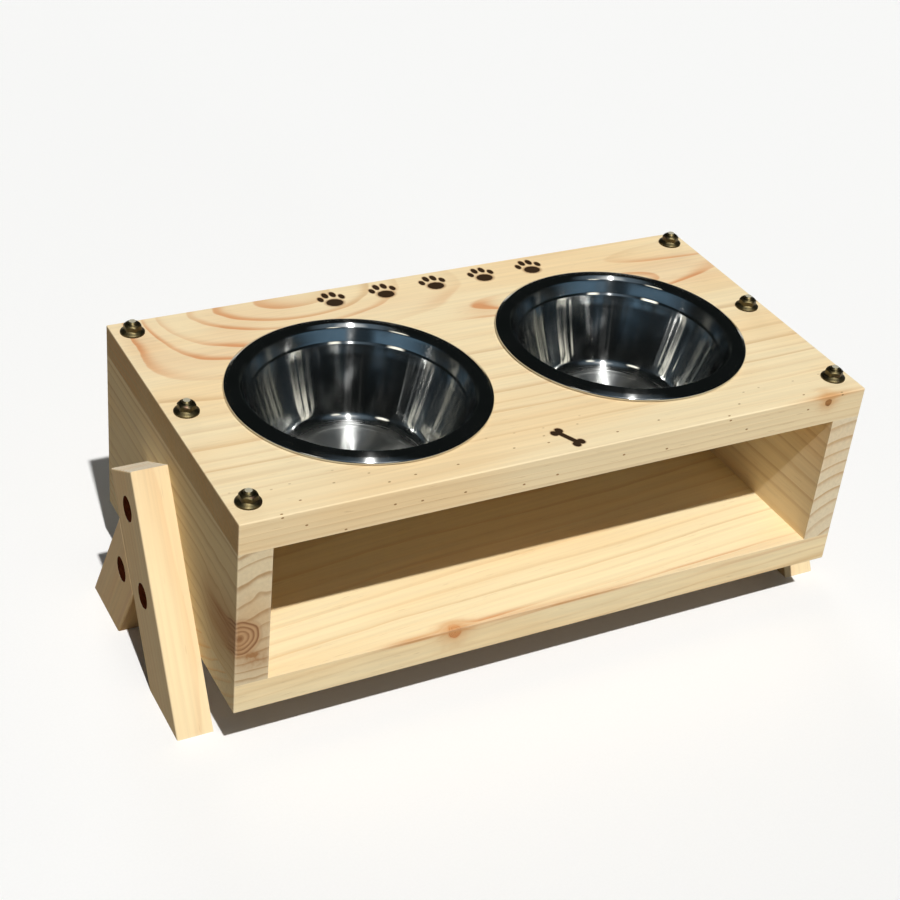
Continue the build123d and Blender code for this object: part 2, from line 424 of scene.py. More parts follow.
# %% Group: pine_colour
SPRING_TONE = (244, 224, 181)
SUMMER_TONE = (206, 164, 112)
SAWN_END_TONE = (226, 208, 170)


def build_pine_colour():
    """Mixes the wood's colours by the figure, and gives its roughness and the height of its grain."""
    inputs = {
        "Late": 0.0,
        "Year": 0.5,
        "Fibre": 0.5,
        "Broad": 0.5,
        "Canal": 0.0,
        "End": 0.0,
        "Blush": 0.0,
        "Spring Colour": screen(*SPRING_TONE),
        "Summer Colour": screen(*SUMMER_TONE),
        "Blush Colour": screen(222, 160, 110),
        "End Colour": screen(*SAWN_END_TONE),
    }
    tree, enter, leave = new_group("pine_colour", inputs, ["Colour", "Roughness", "Height"])
    summer = enter["Late"] * (enter["Year"] * 0.48 + 0.10 + enter["End"] * 0.36)
    spring = blend(enter["End"] * 0.8, enter["Spring Colour"], enter["End Colour"])
    colour = blend(summer, spring, enter["Summer Colour"])
    pinkish = ramp(enter["Broad"], 0.42, 0.68) * 0.45
    colour = blend(pinkish, colour, screen(255, 236, 214), "MULTIPLY")
    blush = enter["Blush"] * (enter["Late"] * 0.75 + 0.2)
    colour = blend(blush, colour, enter["Blush Colour"])
    streak = ramp(enter["Fibre"], 0.2, 0.8, 0.93, 1.04)
    shade = add(tree, "CombineColor", {channel: streak for channel in range(3)})
    colour = blend(1.0, colour, shade, "MULTIPLY")
    colour = blend(enter["Canal"] * 0.18, colour, screen(150, 110, 66))
    rough = enter["Fibre"] * 0.16 + 0.46 - enter["Late"] * 0.06 + enter["End"] * 0.15
    height = enter["Fibre"] * 0.5 + enter["Late"] * 0.35 - enter["Canal"] * 0.3
    feed(leave, {"Colour": colour, "Roughness": rough, "Height": height})
    return tree


pine_colour = build_pine_colour()


# %% [markdown]
# ## Building one board's finish
# Every board comes from its own trunk, so each gets its own pith line, ring width and marks. A
# Mapping node set to TEXTURE turns the board's own coordinates into the trunk's frame: it takes away
# the pith's place and undoes the grain's direction. Lumps added to the distance from the pith make
# the rings swell there, which draws arches and ovals; a knot does the same through its halo.

# %% Board finish: the grain
GRAIN_X = Matrix.Identity(3)
GRAIN_Y = Matrix.Rotation(np.pi / 2, 3, "Z")


def weighted_lumps(place, lumps):
    """The sum of height times lump for each (centre, reach, height), in metres or as a share."""
    total = 0.0
    for centre, reach, height in lumps:
        total = total + height * use_group(lump, Place=place, Centre=centre, Reach=reach)["Amount"]
    return total


def knot_layers(place, knots):
    """Places a knot group for each (centre, direction, radius, length) and returns their outputs."""
    layers = []
    for centre, direction, radius, length in knots:
        size = {"Radius": radius, "Length": length}
        unit = tuple(Vector(direction).normalized())
        layers.append(use_group(knot, Place=place, Centre=centre, Direction=unit, **size))
    return layers


def bulged(shift, layers, knots):
    """Adds to the ring shift a bulge as high as each knot's radius."""
    for layer, (_, _, radius, _) in zip(layers, knots):
        shift = shift + layer["Halo"] * radius
    return shift


def end_grain(tree, grain):
    """One where the surface looks along the grain, zero where it looks across it."""
    cosine = towards(add(tree, "TexCoord", out="Normal"), grain @ Vector((1, 0, 0)))
    return ramp(calc("ABSOLUTE", cosine), 0.55, 0.85)


# %% Board finish: colours over the grain
BROWN_KNOT = {"stain": screen(172, 128, 86), "wood": screen(198, 158, 116), "lines": screen(116, 70, 40)}
ORANGE_KNOT = {"stain": screen(218, 162, 106), "wood": screen(228, 160, 104), "lines": screen(170, 98, 56)}
DARK_KNOT = {"stain": screen(216, 160, 100), "wood": screen(108, 60, 32), "lines": screen(58, 32, 20)}
SPECK_COLOUR = screen(158, 120, 78)
# Pale edge colour: partly sanding wear, partly a painted highlight.
SANDED_EDGE_AND_HIGHLIGHT = screen(252, 242, 214)
GRAIN_HEIGHT = 0.00012
OILED_SHINE = 0.02


def paint_knots(colour, height, layers, stain, colours):
    """Stains the wood round each knot, then draws the knot and its dark rings."""
    for layer in layers:
        colour = blend(layer["Halo"] * stain, colour, colours["stain"])
        colour = blend(layer["Core"], colour, colours["wood"])
        lines = layer["Core"] * layer["Rings"]
        colour = blend(lines * 0.8, colour, colours["lines"])
        height = height - lines * 0.6
    return colour, height


def paint_smudges(place, colour, smudges, fibre, stain):
    """Soft stained patches, broken up along the fibres."""
    uneven = ramp(fibre, 0.3, 0.7, 0.4, 1.0)
    amount = calc("MULTIPLY", weighted_lumps(place, smudges), uneven, clamp=True)
    return blend(amount, colour, stain)


def paint_specks(place, colour, specks):
    """Dots of resin, only where the lumps of specks reach."""
    dots = use_group(resin_specks, Place=place)["Amount"]
    dots = calc("MULTIPLY", dots, weighted_lumps(place, specks), clamp=True)
    return blend(dots, colour, SPECK_COLOUR)


# %% Board finish: the whole material
def pine_material(
    name, grain, pith, ring_width, low, high,
    drift=0.012, lumps=(), knots=(), knot_colours=BROWN_KNOT, stain=0.55,
    blush=(), smudges=(), specks=(), burn=None,
    spring=SPRING_TONE, summer=SUMMER_TONE, end=SAWN_END_TONE,
):
    """A board's finish. Places are in metres; low and high are the corners that its edges follow."""
    material, tree, shader = new_material(name)
    place = add(tree, "TexCoord", out="Object")
    turned = {"Vector": place, "Location": pith, "Rotation": grain.to_euler()}
    trunk = add(tree, "Mapping", turned, vector_type="TEXTURE")
    layers = knot_layers(place, knots)
    shift = bulged(weighted_lumps(place, lumps), layers, knots)
    figure = use_group(pine_figure, Place=trunk, Drift=drift, Shift=shift, Ring_Width=ring_width)
    feeds = {label: figure[label] for label in FIGURE}
    feeds["End"] = end_grain(tree, grain)
    feeds["Blush"] = weighted_lumps(place, blush)
    tones = {"Spring_Colour": screen(*spring), "Summer_Colour": screen(*summer), "End_Colour": screen(*end)}
    wood = use_group(pine_colour, **feeds, **tones)
    colour, height = paint_knots(wood["Colour"], wood["Height"], layers, stain, knot_colours)
    if smudges:
        colour = paint_smudges(place, colour, smudges, figure["Fibre"], knot_colours["stain"])
    if specks:
        colour = paint_specks(place, colour, specks)
    edges = use_group(board_edges, Place=place, Low=low, High=high)["Amount"]
    # Paler edges: partly sanding wear, partly a painted highlight where light catches them.
    colour = blend(edges * 0.10, colour, SANDED_EDGE_AND_HIGHLIGHT)
    if burn:
        colour, height = burn(place, colour, height)
    finish_surface(shader, height, GRAIN_HEIGHT, Base_Color=colour, Roughness=wood["Roughness"])
    feed(shader, {"Specular IOR Level": OILED_SHINE})
    return material


def dress(node, material):
    """Gives a CAD node its finish."""
    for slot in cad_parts[node].material_slots:
        slot.material = material


def dress_board(node, grain, pith, ring_width, **looks):
    """Gives a CAD node a wood finish of its own."""
    low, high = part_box(node)
    dress(node, pine_material(f"pine_{node}", grain, pith, ring_width, tuple(low), tuple(high), **looks))


print("grain directions and board finish ready")


# %% [markdown]
# ## Burnt marks on the top
# The maker burns marks into the top with a hot iron. Here they are a row of paw prints along the
# back and a small bone at the front. Each is a few ovals, drawn by distance: inside an oval the
# distance from its middle, with each axis divided by its radius, is under one. Folding space saves
# work, since one paw repeated every few centimetres, with its left half mirrored, needs three ovals.
# The heat leaves a dark floor slightly below the surface and a brown scorch round it.

# %% Burnt marks
PAW_PITCH = 0.034
PAW_ROW_MIDDLE = (0.009, 0.0900)
PAW_COUNT = 5
BONE_PLACE = (0.001, -0.0893, 0.0)
BONE_TURN = np.radians(-64)
CHAR = screen(38, 24, 14)
SCORCH = screen(150, 96, 50)


def oval(place, centre, radii):
    """The distance from an oval's middle, in radii."""
    return vector("LENGTH", (place - centre) / radii * (1, 1, 0), out=1)


def paw_prints(place):
    """The least oval distance of a paw, in a row of paws folded onto half a paw."""
    x, y, _ = parts_of(place)
    along = x - PAW_ROW_MIDDLE[0]
    folded = calc("ABSOLUTE", calc("WRAP", along, PAW_PITCH / 2, -PAW_PITCH / 2))
    paw = add(place.tree, "CombineXYZ", {0: folded, 1: y - PAW_ROW_MIDDLE[1]})
    pad = oval(paw, (0, -0.0038, 0), (0.0056, 0.0044, 1))
    inner_toe = oval(paw, (0.0025, 0.0056, 0), (0.0020, 0.0033, 1))
    outer_toe = oval(paw, (0.0069, 0.0019, 0), (0.0019, 0.0029, 1))
    nearest = calc("MINIMUM", pad, calc("MINIMUM", inner_toe, outer_toe))
    beyond = calc("GREATER_THAN", calc("ABSOLUTE", along), PAW_PITCH * PAW_COUNT / 2)
    return nearest + beyond * 10.0


def bone(place):
    """The least distance of a bone: a bar with a pair of round ends, folded onto one quarter."""
    turned = {0: place, 1: BONE_PLACE, 2: (0, 0, BONE_TURN)}
    quarter = vector("ABSOLUTE", add(place.tree, "Mapping", turned, vector_type="TEXTURE"))
    knuckle = oval(quarter, (0.0074, 0.0020, 0), (0.0026, 0.0023, 1))
    x, y, _ = parts_of(quarter / (0.0078, 0.0017, 1))
    return calc("MINIMUM", knuckle, calc("MAXIMUM", x, y))


def burn_top(place, colour, height):
    """Burns both marks into the upper face only."""
    ragged = noise(place, (900, 900, 900)) * 0.22
    distance = calc("MINIMUM", paw_prints(place), bone(place)) + ragged
    facing = add(place.tree, "TexCoord", out="Normal")
    upper = calc("GREATER_THAN", towards(facing, (0, 0, 1)), 0.7)
    scorch = ramp(distance, 1.0, 1.5, 0.6, 0.0) * upper
    burnt = ramp(distance, 0.98, 1.14, 1.0, 0.0) * upper
    colour = blend(scorch, colour, SCORCH)
    colour = blend(burnt * 0.96, colour, CHAR)
    return colour, height - burnt * 3.0


print("paw row, m:", round(PAW_PITCH * (PAW_COUNT - 1), 3), "from first to last")


# %% [markdown]
# ## The boards of the case
# The top board was sawn wide of the pith at the front, so it has narrow straight lines there, and
# close over it at the back, where the lines spread into orange arches. The end boards lie with their
# grain front to back, so their front edges are sawn ends and show the rings as arcs. A branch came
# out at the lower front corner of the left one and left a ringed knot that two faces share.

# %% Top board and bottom board
def dress_top_board():
    dress_board(
        "top_board", GRAIN_X, (0, 0.090, -0.240), 0.0036,
        drift=0.005,
        lumps=[
            ((-0.078, 0.104, 0.16), (0.080, 0.050, 0.20), -0.0130),
            ((-0.205, 0.105, 0.16), (0.034, 0.060, 0.20), 0.0110),
            ((0.088, 0.052, 0.16), (0.060, 0.013, 0.20), -0.0095),
            ((0.200, 0.083, 0.16), (0.080, 0.012, 0.20), -0.0050),
        ],
        blush=[
            ((-0.180, 0.078, 0.16), (0.014, 0.026, 0.05), 1.3),
            ((-0.155, 0.050, 0.16), (0.030, 0.014, 0.05), 1.0),
            ((-0.128, 0.080, 0.16), (0.020, 0.040, 0.05), 1.0),
            ((-0.095, 0.090, 0.16), (0.020, 0.016, 0.05), 0.8),
            ((0.024, 0.051, 0.16), (0.014, 0.009, 0.05), 1.7),
            ((0.165, 0.066, 0.16), (0.046, 0.012, 0.05), 1.3),
            ((0.170, 0.045, 0.16), (0.036, 0.008, 0.05), 1.2),
            ((-0.040, 0.073, 0.16), (0.060, 0.010, 0.05), 0.6),
        ],
        smudges=[
            ((0.173, -0.103, 0.160), (0.024, 0.003, 0.0022), 0.9),
            ((0.169, -0.103, 0.157), (0.007, 0.004, 0.0050), 0.7),
        ],
        knots=[((0.1690, -0.103, 0.1555), (0.1, 1, 0.3), 0.0024, 0.012)],
        knot_colours=DARK_KNOT,
        stain=0.5,
        specks=[((-0.02, -0.104, 0.155), (0.40, 0.024, 0.04), 1.3)],
        spring=(247, 226, 183), summer=(213, 174, 124), end=(188, 160, 116),
        burn=burn_top,
    )


def dress_bottom_board():
    slanted = Matrix.Rotation(np.radians(4), 3, "Z")
    dress_board(
        "bottom_board", slanted, (0.03, 0.065, 0.240), 0.0062,
        drift=0.012,
        blush=[
            ((-0.036, -0.103, 0.0550), (0.030, 0.004, 0.0022), 1.5),
            ((0.130, -0.100, 0.055), (0.070, 0.004, 0.004), 0.9),
        ],
        knots=[((-0.0642, -0.103, 0.0530), (0, 1, -0.2), 0.0042, 0.010)],
        smudges=[
            ((-0.062, -0.103, 0.0545), (0.011, 0.005, 0.0040), 1.0),
            ((-0.090, -0.103, 0.0543), (0.018, 0.003, 0.0011), 1.6),
            ((0.010, -0.103, 0.0544), (0.050, 0.003, 0.0010), 1.3),
        ],
        knot_colours=ORANGE_KNOT,
        stain=0.6,
        spring=(253, 233, 188), summer=(226, 190, 136),
    )


dress_top_board()
dress_bottom_board()
print("top and bottom boards dressed")


# %% End boards and back board
def dress_left_end_board():
    dress_board(
        "left_end_board", GRAIN_Y, (-0.182, 0, 0.002), 0.0080,
        drift=0.017,
        lumps=[((-0.180, -0.103, 0.124), (0.013, 0.060, 0.030), -0.0060)],
        knots=[((-0.1928, -0.103, 0.0866), (-0.02, 0.93, -0.26), 0.0122, 0.052)],
        stain=0.4,
        smudges=[
            ((-0.195, -0.084, 0.085), (0.004, 0.024, 0.011), 1.2),
            ((-0.183, -0.103, 0.070), (0.009, 0.010, 0.006), 0.8),
            ((-0.1855, -0.103, 0.0740), (0.0035, 0.006, 0.0018), 1.6),
        ],
        spring=(230, 208, 162), summer=(186, 152, 110), end=(232, 214, 178),
    )


def dress_right_end_board():
    dress_board(
        "right_end_board", GRAIN_Y, (0.2065, 0, 0.030), 0.0096,
        drift=0.007,
        spring=(250, 229, 188), summer=(206, 172, 126), end=(234, 219, 188),
    )


def dress_back_board():
    dress_board(
        "back_board", GRAIN_X, (0, 0.18, 0.075), 0.0070,
        drift=0.014,
        knots=[((0.060, 0.103, 0.082), (0.05, 1, 0.1), 0.0070, 0.05)],
    )


dress_left_end_board()
dress_right_end_board()
dress_back_board()
print("end boards and back board dressed")


# %% [markdown]
# ## The legs
# Each leg is a planed strip cut so that its grain runs along it, and it leans by thirty degrees. So
# the trunk's frame leans too. These strips were sawn from pale outer wood, with faint pink streaks
# down the length and close rings.

# %% Legs
STRIP_LEAN = np.radians(30)
STRIP_TONES = {"spring": (246, 222, 176), "summer": (236, 202, 154), "end": (255, 250, 232)}


def leaning_grain(direction):
    """X axis up along a strip that leans back (direction 1) or forward (direction -1) as it rises."""
    return Matrix.Rotation(np.pi / 2 - direction * STRIP_LEAN, 3, "X") @ GRAIN_Y


def dress_leg(side, place, direction, pith_offset, ring_width):
    """Finish for one strip; pith_offset is (x, y) from the middle of its sole."""
    node = f"{side}_{place}_leg"
    low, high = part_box(node)
    sole_middle = ((low[0] + high[0]) / 2, low[1] if direction > 0 else high[1], 0.0)
    pith = tuple(np.add(sole_middle, (*pith_offset, 0.0)))
    dress_board(
        node, leaning_grain(direction), pith, ring_width,
        drift=0.010,
        blush=[(sole_middle, (1, 1, 1), 0.10)],
        **STRIP_TONES,
    )


for side, outward in (("left", -1), ("right", 1)):
    dress_leg(side, "front", 1, (outward * 0.012, 0.085), 0.0052)
    dress_leg(side, "rear", -1, (-outward * 0.045, -0.010), 0.0060)
print("legs dressed")


# %% [markdown]
# ## Surfaces from arrays
# The drawn pieces are surfaces of two parameters: one runs along a profile, the other goes round the
# axis. `skin` takes a whole grid of points, rows along the profile and columns round it, and joins
# neighbours with faces. Columns always close on themselves. Rows either close too, as on a ring, or
# end in a single point, a pole. The order of the corners makes every face look outwards as long as
# the profile is followed with the solid on its right, seen with the axis upwards and on the left.

# %% Surface helpers
def skin(name, rows, poles=None, material=None, smooth_angle=np.radians(40), uv=None):
    """A closed mesh from a (rows, columns, 3) grid; poles is its (first, last) point, or None."""
    count, around = rows.shape[:2]
    index = np.arange(count * around).reshape(count, around)
    below = index if poles is None else index[:-1]
    above = np.roll(index, -1, axis=0) if poles is None else index[1:]
    quads = np.stack([below, above, np.roll(above, -1, axis=1), np.roll(below, -1, axis=1)], axis=-1)
    faces = quads.reshape(-1, 4).tolist()
    points = rows.reshape(-1, 3)
    if poles is not None:
        first, last = count * around, count * around + 1
        faces += [[first, a, b] for a, b in zip(index[0], np.roll(index[0], -1))]
        faces += [[last, b, a] for a, b in zip(index[-1], np.roll(index[-1], -1))]
        points = np.vstack([points, poles])
    mesh = bpy.data.meshes.new(name)
    mesh.from_pydata(points, [], faces)
    mesh.shade_smooth()
    mesh.set_sharp_from_angle(angle=smooth_angle)
    if uv is not None:
        write_uv(mesh, uv, around)
    mesh.materials.append(material)
    piece = bpy.data.objects.new(name, mesh)
    bpy.context.scene.collection.objects.link(piece)
    return piece


def write_uv(mesh, along, around):
    """U goes once round the axis, V is the length along the profile, in metres, and both keep going."""
    layer = mesh.uv_layers.new(name="around_and_along")
    corner_vertex = np.empty(len(mesh.loops), dtype=int)
    mesh.loops.foreach_get("vertex_index", corner_vertex)
    row, column = np.divmod(corner_vertex, around)
    v = np.where(row < len(along), along[np.minimum(row, len(along) - 1)], 0.0)
    last_pole = corner_vertex == len(along) * around + 1
    v = np.where(last_pole, along[-1], v)
    u = column / around
    quads = (len(along) - 1) * around
    faces = u[: quads * 4].reshape(-1, 4)
    over_seam = np.ptp(faces, axis=1) > 0.5
    faces[over_seam] += faces[over_seam] < 0.5
    layer.uv.foreach_set("vector", np.stack([u, v], axis=-1).astype(np.float32).ravel())


def all_round(columns):
    """The angles of so many columns, evenly spaced."""
    return np.arange(columns) * 2 * np.pi / columns


def at_radius(radius, angle, height):
    """The points (radius * cos(angle), radius * sin(angle), height), for numbers, rows or grids."""
    return np.stack(np.broadcast_arrays(radius * np.cos(angle), radius * np.sin(angle), height), axis=-1)


def rounded_path(corners, radii, arc_step=np.radians(7)):
    """A path through corners, where each inner corner becomes an arc tangent to both its sides.

    An arc of radius r that turns by an angle a starts r * tan(a / 2) before its corner.
    """
    corners = np.asarray(corners, dtype=float)
    path = [corners[:1]]
    for before, corner, after, radius in zip(corners, corners[1:], corners[2:], radii):
        arrive = (corner - before) / np.linalg.norm(corner - before)
        leave = (after - corner) / np.linalg.norm(after - corner)
        turn = np.arctan2(arrive[0] * leave[1] - arrive[1] * leave[0], arrive @ leave)
        start = corner - arrive * radius * np.tan(abs(turn) / 2)
        share = np.linspace(0, turn, max(3, int(np.ceil(abs(turn) / arc_step)) + 1))[:, None]
        inward = np.sign(turn) * np.array([-arrive[1], arrive[0]])
        path.append(start + radius * (np.sin(abs(share)) * arrive + (1 - np.cos(share)) * inward))
    path.append(corners[-1:])
    return np.vstack(path)


def filled_in(path, longest):
    """The same path with points added so that no step is longer than longest."""
    steps = np.linalg.norm(np.diff(path, axis=0), axis=1)
    parts = np.maximum(1, np.ceil(steps / longest).astype(int))
    pieces = [np.linspace(a, b, n, endpoint=False) for a, b, n in zip(path, path[1:], parts)]
    return np.vstack([*pieces, path[-1:]])


def travelled(path):
    """The length along a path at each of its points."""
    return np.append(0, np.cumsum(np.linalg.norm(np.diff(path, axis=0), axis=1)))


def middle_at(low, high, height):
    """The point in the middle of a box, seen from above, at the given height."""
    return np.array([(low[0] + high[0]) / 2, (low[1] + high[1]) / 2, height])


print("surface helpers ready")


# %% [markdown]
# ## Bowl steel
# The bowls are pressed from stainless sheet and polished while they spin, so the polish leaves very
# fine rings round the axis. Such rings spread a highlight across themselves, into streaks that run
# up and down the wall. That is anisotropy: the shader is told how strong it is, and which way the
# rings run, from the U direction of the bowl's own map. Faint wipe marks change the roughness. Where
# on the bowl a mark lies is read from V, which is the length along its section from the middle.

# %% Bowl steel
SCRATCHES_START = (0.026, 0.033)
SCRATCHES_END = (0.039, 0.043)
FLOOR_EDGE = (0.034, 0.046)
WALL_START = (0.046, 0.056)
WALL_END = (0.081, 0.089)
RING_HEIGHT = 0.000004
MARKS_TO_RINGS = 110.0
SCRATCHES_TO_RINGS = 3.0
STEEL_DARK = (0.52, 0.53, 0.51, 1)
STEEL_BRIGHT = (0.61, 0.61, 0.59, 1)


def build_polish():
    """Fine rings at constant V, drawing marks along V, and a scratched ring in the bottom."""
    tree, enter, leave = new_group("polish", {"Map": (0, 0, 0)}, ["Roughness", "Height", "Tint"])
    chart = enter["Map"]
    along = parts_of(chart)[1]
    rings = noise(chart, (5, 2600, 1), 3.0)
    marks = noise(chart, (64, 3, 1), 1.0)
    smears = noise(chart, (24, 40, 1), 3.0)
    worn = ramp(along, *SCRATCHES_START) * ramp(along, *SCRATCHES_END, 1.0, 0.0)
    scratch = ramp(noise(chart, (9, 1500, 1)), 0.56, 0.64) * worn
    on_wall = ramp(along, *WALL_START) * ramp(along, *WALL_END, 1.0, 0.0)
    height = rings + marks * on_wall * MARKS_TO_RINGS + scratch * SCRATCHES_TO_RINGS
    rough = ramp(smears, 0.42, 0.75) * 0.08 + 0.06 + rings * 0.04 + scratch * 0.30
    rough = rough + ramp(along, *FLOOR_EDGE, 0.29, 0.0)
    feed(leave, {"Roughness": rough, "Height": height, "Tint": ramp(smears, 0.3, 0.7)})
    return tree


def make_bowl_steel():
    material, tree, shader = new_material("bowl_steel")
    chart = add(tree, "UVMap", out="UV", uv_map="around_and_along")
    polish = use_group(build_polish(), Map=chart)
    looks = {"Base_Color": blend(polish["Tint"], STEEL_DARK, STEEL_BRIGHT), "Roughness": polish["Roughness"]}
    finish_surface(shader, polish["Height"], RING_HEIGHT, **looks)
    tangent = add(tree, "Tangent", direction_type="UV_MAP", uv_map="around_and_along")
    feed(shader, {"Metallic": 1.0, "Tangent": tangent})
    feed(shader, {"Anisotropic": 1.0, "Anisotropic Rotation": 0.25})
    return material


bowl_steel = make_bowl_steel()


# %% [markdown]
# ## The bowls
# A bowl is one sheet: a flat bottom with a stepped ring that stiffens it, a wall that opens
# outwards, a crease, a band, a short slope up to the peak of the lip, and a lip that falls outwards
# to a rolled bead. Its section is worked out once as a path. The outer skin is the same path pushed
# outwards by the thickness of the sheet. A straight wall would mirror one spot of the sky over its
# whole height, so the wall bows outwards by nearly a millimetre, as a pressed wall does. Nor is a
# pressed sheet quite round: the radius swells and shrinks by up to a tenth of a millimetre, which is
# what makes the reflections wander.

# %% Bowl section
# Millimetres. A corner of the section is (radius, height above the top of the board).
SHEET = 0.8
BOTTOM = -49.0
RING_STEP = 0.8
WALL_TOP = -6.4
FLOOR_CORNERS = [(0, BOTTOM + RING_STEP), (34.7, BOTTOM + RING_STEP), (36.3, BOTTOM), (45.0, BOTTOM)]
RIM_CORNERS = [(60.6, WALL_TOP), (61.5, -5.2), (64.6, 2.3), (67.2, 4.78), (72.2, 3.85), (74.5, 2.45)]
CORNER_RADII = [0.9, 0.9, 7.0, 0.8, 0.9, 3.0, 2.4, 3.0]
WALL_BOW = 0.9
BOW_STARTS = 40.0
BEAD_CENTRE = np.array([74.1, 1.4])
BEAD_RADIUS = 1.1
LONGEST_STEP = 1.6
COLUMNS = 288
SWELL = 0.045


def bowl_section():
    """The inner path from the middle to the bead, round the bead, and back on the outer skin.

    The wall bows outwards by 4 * bow * share * (1 - share), where share climbs from 0 to 1 up the wall.
    """
    inner = filled_in(rounded_path(FLOOR_CORNERS + RIM_CORNERS, CORNER_RADII), LONGEST_STEP)
    share = np.clip((inner[:, 1] - BOTTOM) / (WALL_TOP - BOTTOM), 0, 1)
    inner[:, 0] += 4 * WALL_BOW * share * (1 - share) * (inner[:, 0] > BOW_STARTS)
    step = np.gradient(inner, axis=0)
    outward = np.stack([step[:, 1], -step[:, 0]], axis=1) / np.linalg.norm(step, axis=1)[:, None]
    outer = (inner + SHEET * outward)[::-1]
    angle = np.radians(np.arange(55, -186, -15))[:, None]
    bead = BEAD_CENTRE + BEAD_RADIUS * np.hstack([np.cos(angle), np.sin(angle)])
    under = outer[outer[:, 0] < BEAD_CENTRE[0] - 1.6]
    return np.vstack([inner[1:], bead, under[:-1]])


def bowl_grid(section):
    """The section turned round, its wall uneven by slow waves that are still over the bottom."""
    angle = all_round(COLUMNS)
    radius, height = section[:, 0, None], section[:, 1, None]
    waves = np.sin(3 * angle + 0.06 * height) + 0.7 * np.sin(5 * angle - 0.11 * height + 1.0)
    waves = waves + 0.5 * np.sin(9 * angle + 0.17 * height + 2.2)
    on_wall = np.clip((radius - 38) / 14, 0, 1) * np.clip((4 - height) / 6, 0, 1)
    swell = 1 + SWELL * waves * on_wall / np.maximum(radius, 1)
    return at_radius(radius * swell, angle, height)


# %% Bowls
def make_bowl(side):
    """Sets one bowl where its CAD solid hangs, and lets it stand for that solid."""
    node = f"{side}_bowl"
    low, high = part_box(node)
    place = middle_at(low, high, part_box("top_board")[1][2])
    section = bowl_section()
    poles = np.array([[0, 0, section[0, 1]], [0, 0, section[-1, 1]]]) / 1000 + place
    grid = bowl_grid(section) / 1000 + place
    bowl = skin(f"{node}_pressed_sheet", grid, poles, bowl_steel, uv=travelled(section) / 1000)
    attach(bowl, f"{side}_bowl_body")
    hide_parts(node)
    return bowl


for side in ("left", "right"):
    bowl = make_bowl(side)
    print(bowl.name, "faces:", len(bowl.data.polygons))


# %% [markdown]
# ## Yellow zinc
# The rods and nuts are zinc plated and then dipped, which leaves a thin yellow film. Its thickness
# varies, so the colour drifts between gold, olive and a little pink, and the handling marks are
# duller. Noise in space drives it, so each nut has a pattern of its own. The rods were sawn to
# length after plating, so their ends are bare, paler and matt.

# %% Yellow zinc
def make_yellow_zinc(name, sawn_ends=0.0):
    """Plated steel; sawn_ends (0 or 1) says whether faces that look straight up or down are bare."""
    material, tree, shader = new_material(name)
    place = add(tree, "TexCoord", out="Object")
    film = noise(place, (260, 260, 180))
    marks = noise(place, (1500, 1500, 900), 3.0)
    colour = blend(ramp(film, 0.38, 0.62), screen(98, 87, 60), screen(70, 64, 45))
    colour = blend(ramp(film, 0.60, 0.72, 0.0, 0.6), colour, screen(110, 86, 72))
    upward = towards(add(tree, "TexCoord", out="Normal"), (0, 0, 1))
    bare = ramp(calc("ABSOLUTE", upward), 0.90, 0.98) * sawn_ends
    colour = blend(bare, colour, blend(marks, screen(176, 168, 140), screen(226, 220, 198)))
    rough = marks * 0.22 + 0.36 + bare * 0.3
    metal = 1.0 - bare * 0.5
    finish_surface(shader, marks, 0.00003, Base_Color=colour, Roughness=rough, Metallic=metal)
    return material


yellow_zinc = make_yellow_zinc("yellow_zinc")
rod_zinc = make_yellow_zinc("yellow_zinc_sawn", sawn_ends=1.0)


# %% [markdown]
# ## Flange nuts
# The nut is turned from a profile too, but its outside is a hexagon. The distance from the middle to
# the side of a hexagon is the half width across the flats divided by the cosine of the angle from
# the middle of a flat. Taking the smaller of that and a circle rounds the corners. The shoulder
# climbs from the round flange to the hexagon by blending one radius into the other. A cone takes
# the corners off the top and gives each flat its curved upper line.

# %% Nut surface
# Millimetres and, for the bevel, degrees.
NUT_FLAT = 4.7
NUT_CORNER = 5.25
NUT_TOP = 3.9
NUT_HEIGHT = 6.0
NUT_BORE = 3.05
NUT_BEVEL = 38
FLANGE = 7.1
FLANGE_TOP = 1.1
SECTOR = np.radians([-30, -29, -27.5, -23, -15, -7, 0, 7, 15, 23, 27.5, 29])


def nut_grid():
    """Rows go up the bore, out over the top, down the flats and the flange, and back underneath."""
    angle = (SECTOR + np.radians(np.arange(0, 360, 60))[:, None]).ravel()
    from_flat = np.tile(SECTOR, 6)
    hexagon = np.minimum(NUT_FLAT / np.cos(from_flat), NUT_CORNER)
    cone = NUT_HEIGHT - (hexagon - NUT_TOP) * np.tan(np.radians(NUT_BEVEL))
    foot = FLANGE_TOP + (FLANGE - hexagon) * 0.62
    rows = [(NUT_BORE, 0.35), (NUT_BORE, NUT_HEIGHT - 0.3), (NUT_BORE + 0.3, NUT_HEIGHT)]
    rows += [(NUT_TOP - 0.15, NUT_HEIGHT), (NUT_TOP, NUT_HEIGHT - 0.02)]
    rows += [((NUT_TOP + hexagon) / 2, (NUT_HEIGHT + cone) / 2)]
    rows += [(hexagon - 0.06, cone), (hexagon, cone - 0.08)]
    rows += [(hexagon, (cone + foot) / 2), (hexagon, foot + 0.12), (hexagon + 0.10, foot - 0.02)]
    rows += [((hexagon + FLANGE) / 2, (foot + FLANGE_TOP) / 2), (FLANGE - 0.15, 1.17), (FLANGE, 1.0)]
    rows += [(FLANGE, 0.5), (FLANGE, 0.15), (FLANGE - 0.15, 0.0), (NUT_BORE + 0.35, 0.0)]
    return np.array([at_radius(radius, angle, height) for radius, height in rows])


# %% Nuts
def make_nut(side, place, end):
    """A nut seated where its CAD node is; the ones under the case are turned over about X."""
    node = f"{side}_{place}_{end}_nut"
    low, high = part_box(node)
    seat = middle_at(low, high, low[2] if end == "top" else high[2])
    grid = nut_grid() * (1 if end == "top" else np.array([1, -1, -1])) / 1000 + seat
    nut = skin(f"{node}_drawn", grid, material=yellow_zinc, smooth_angle=np.radians(28))
    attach(nut, "case")
    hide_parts(node)


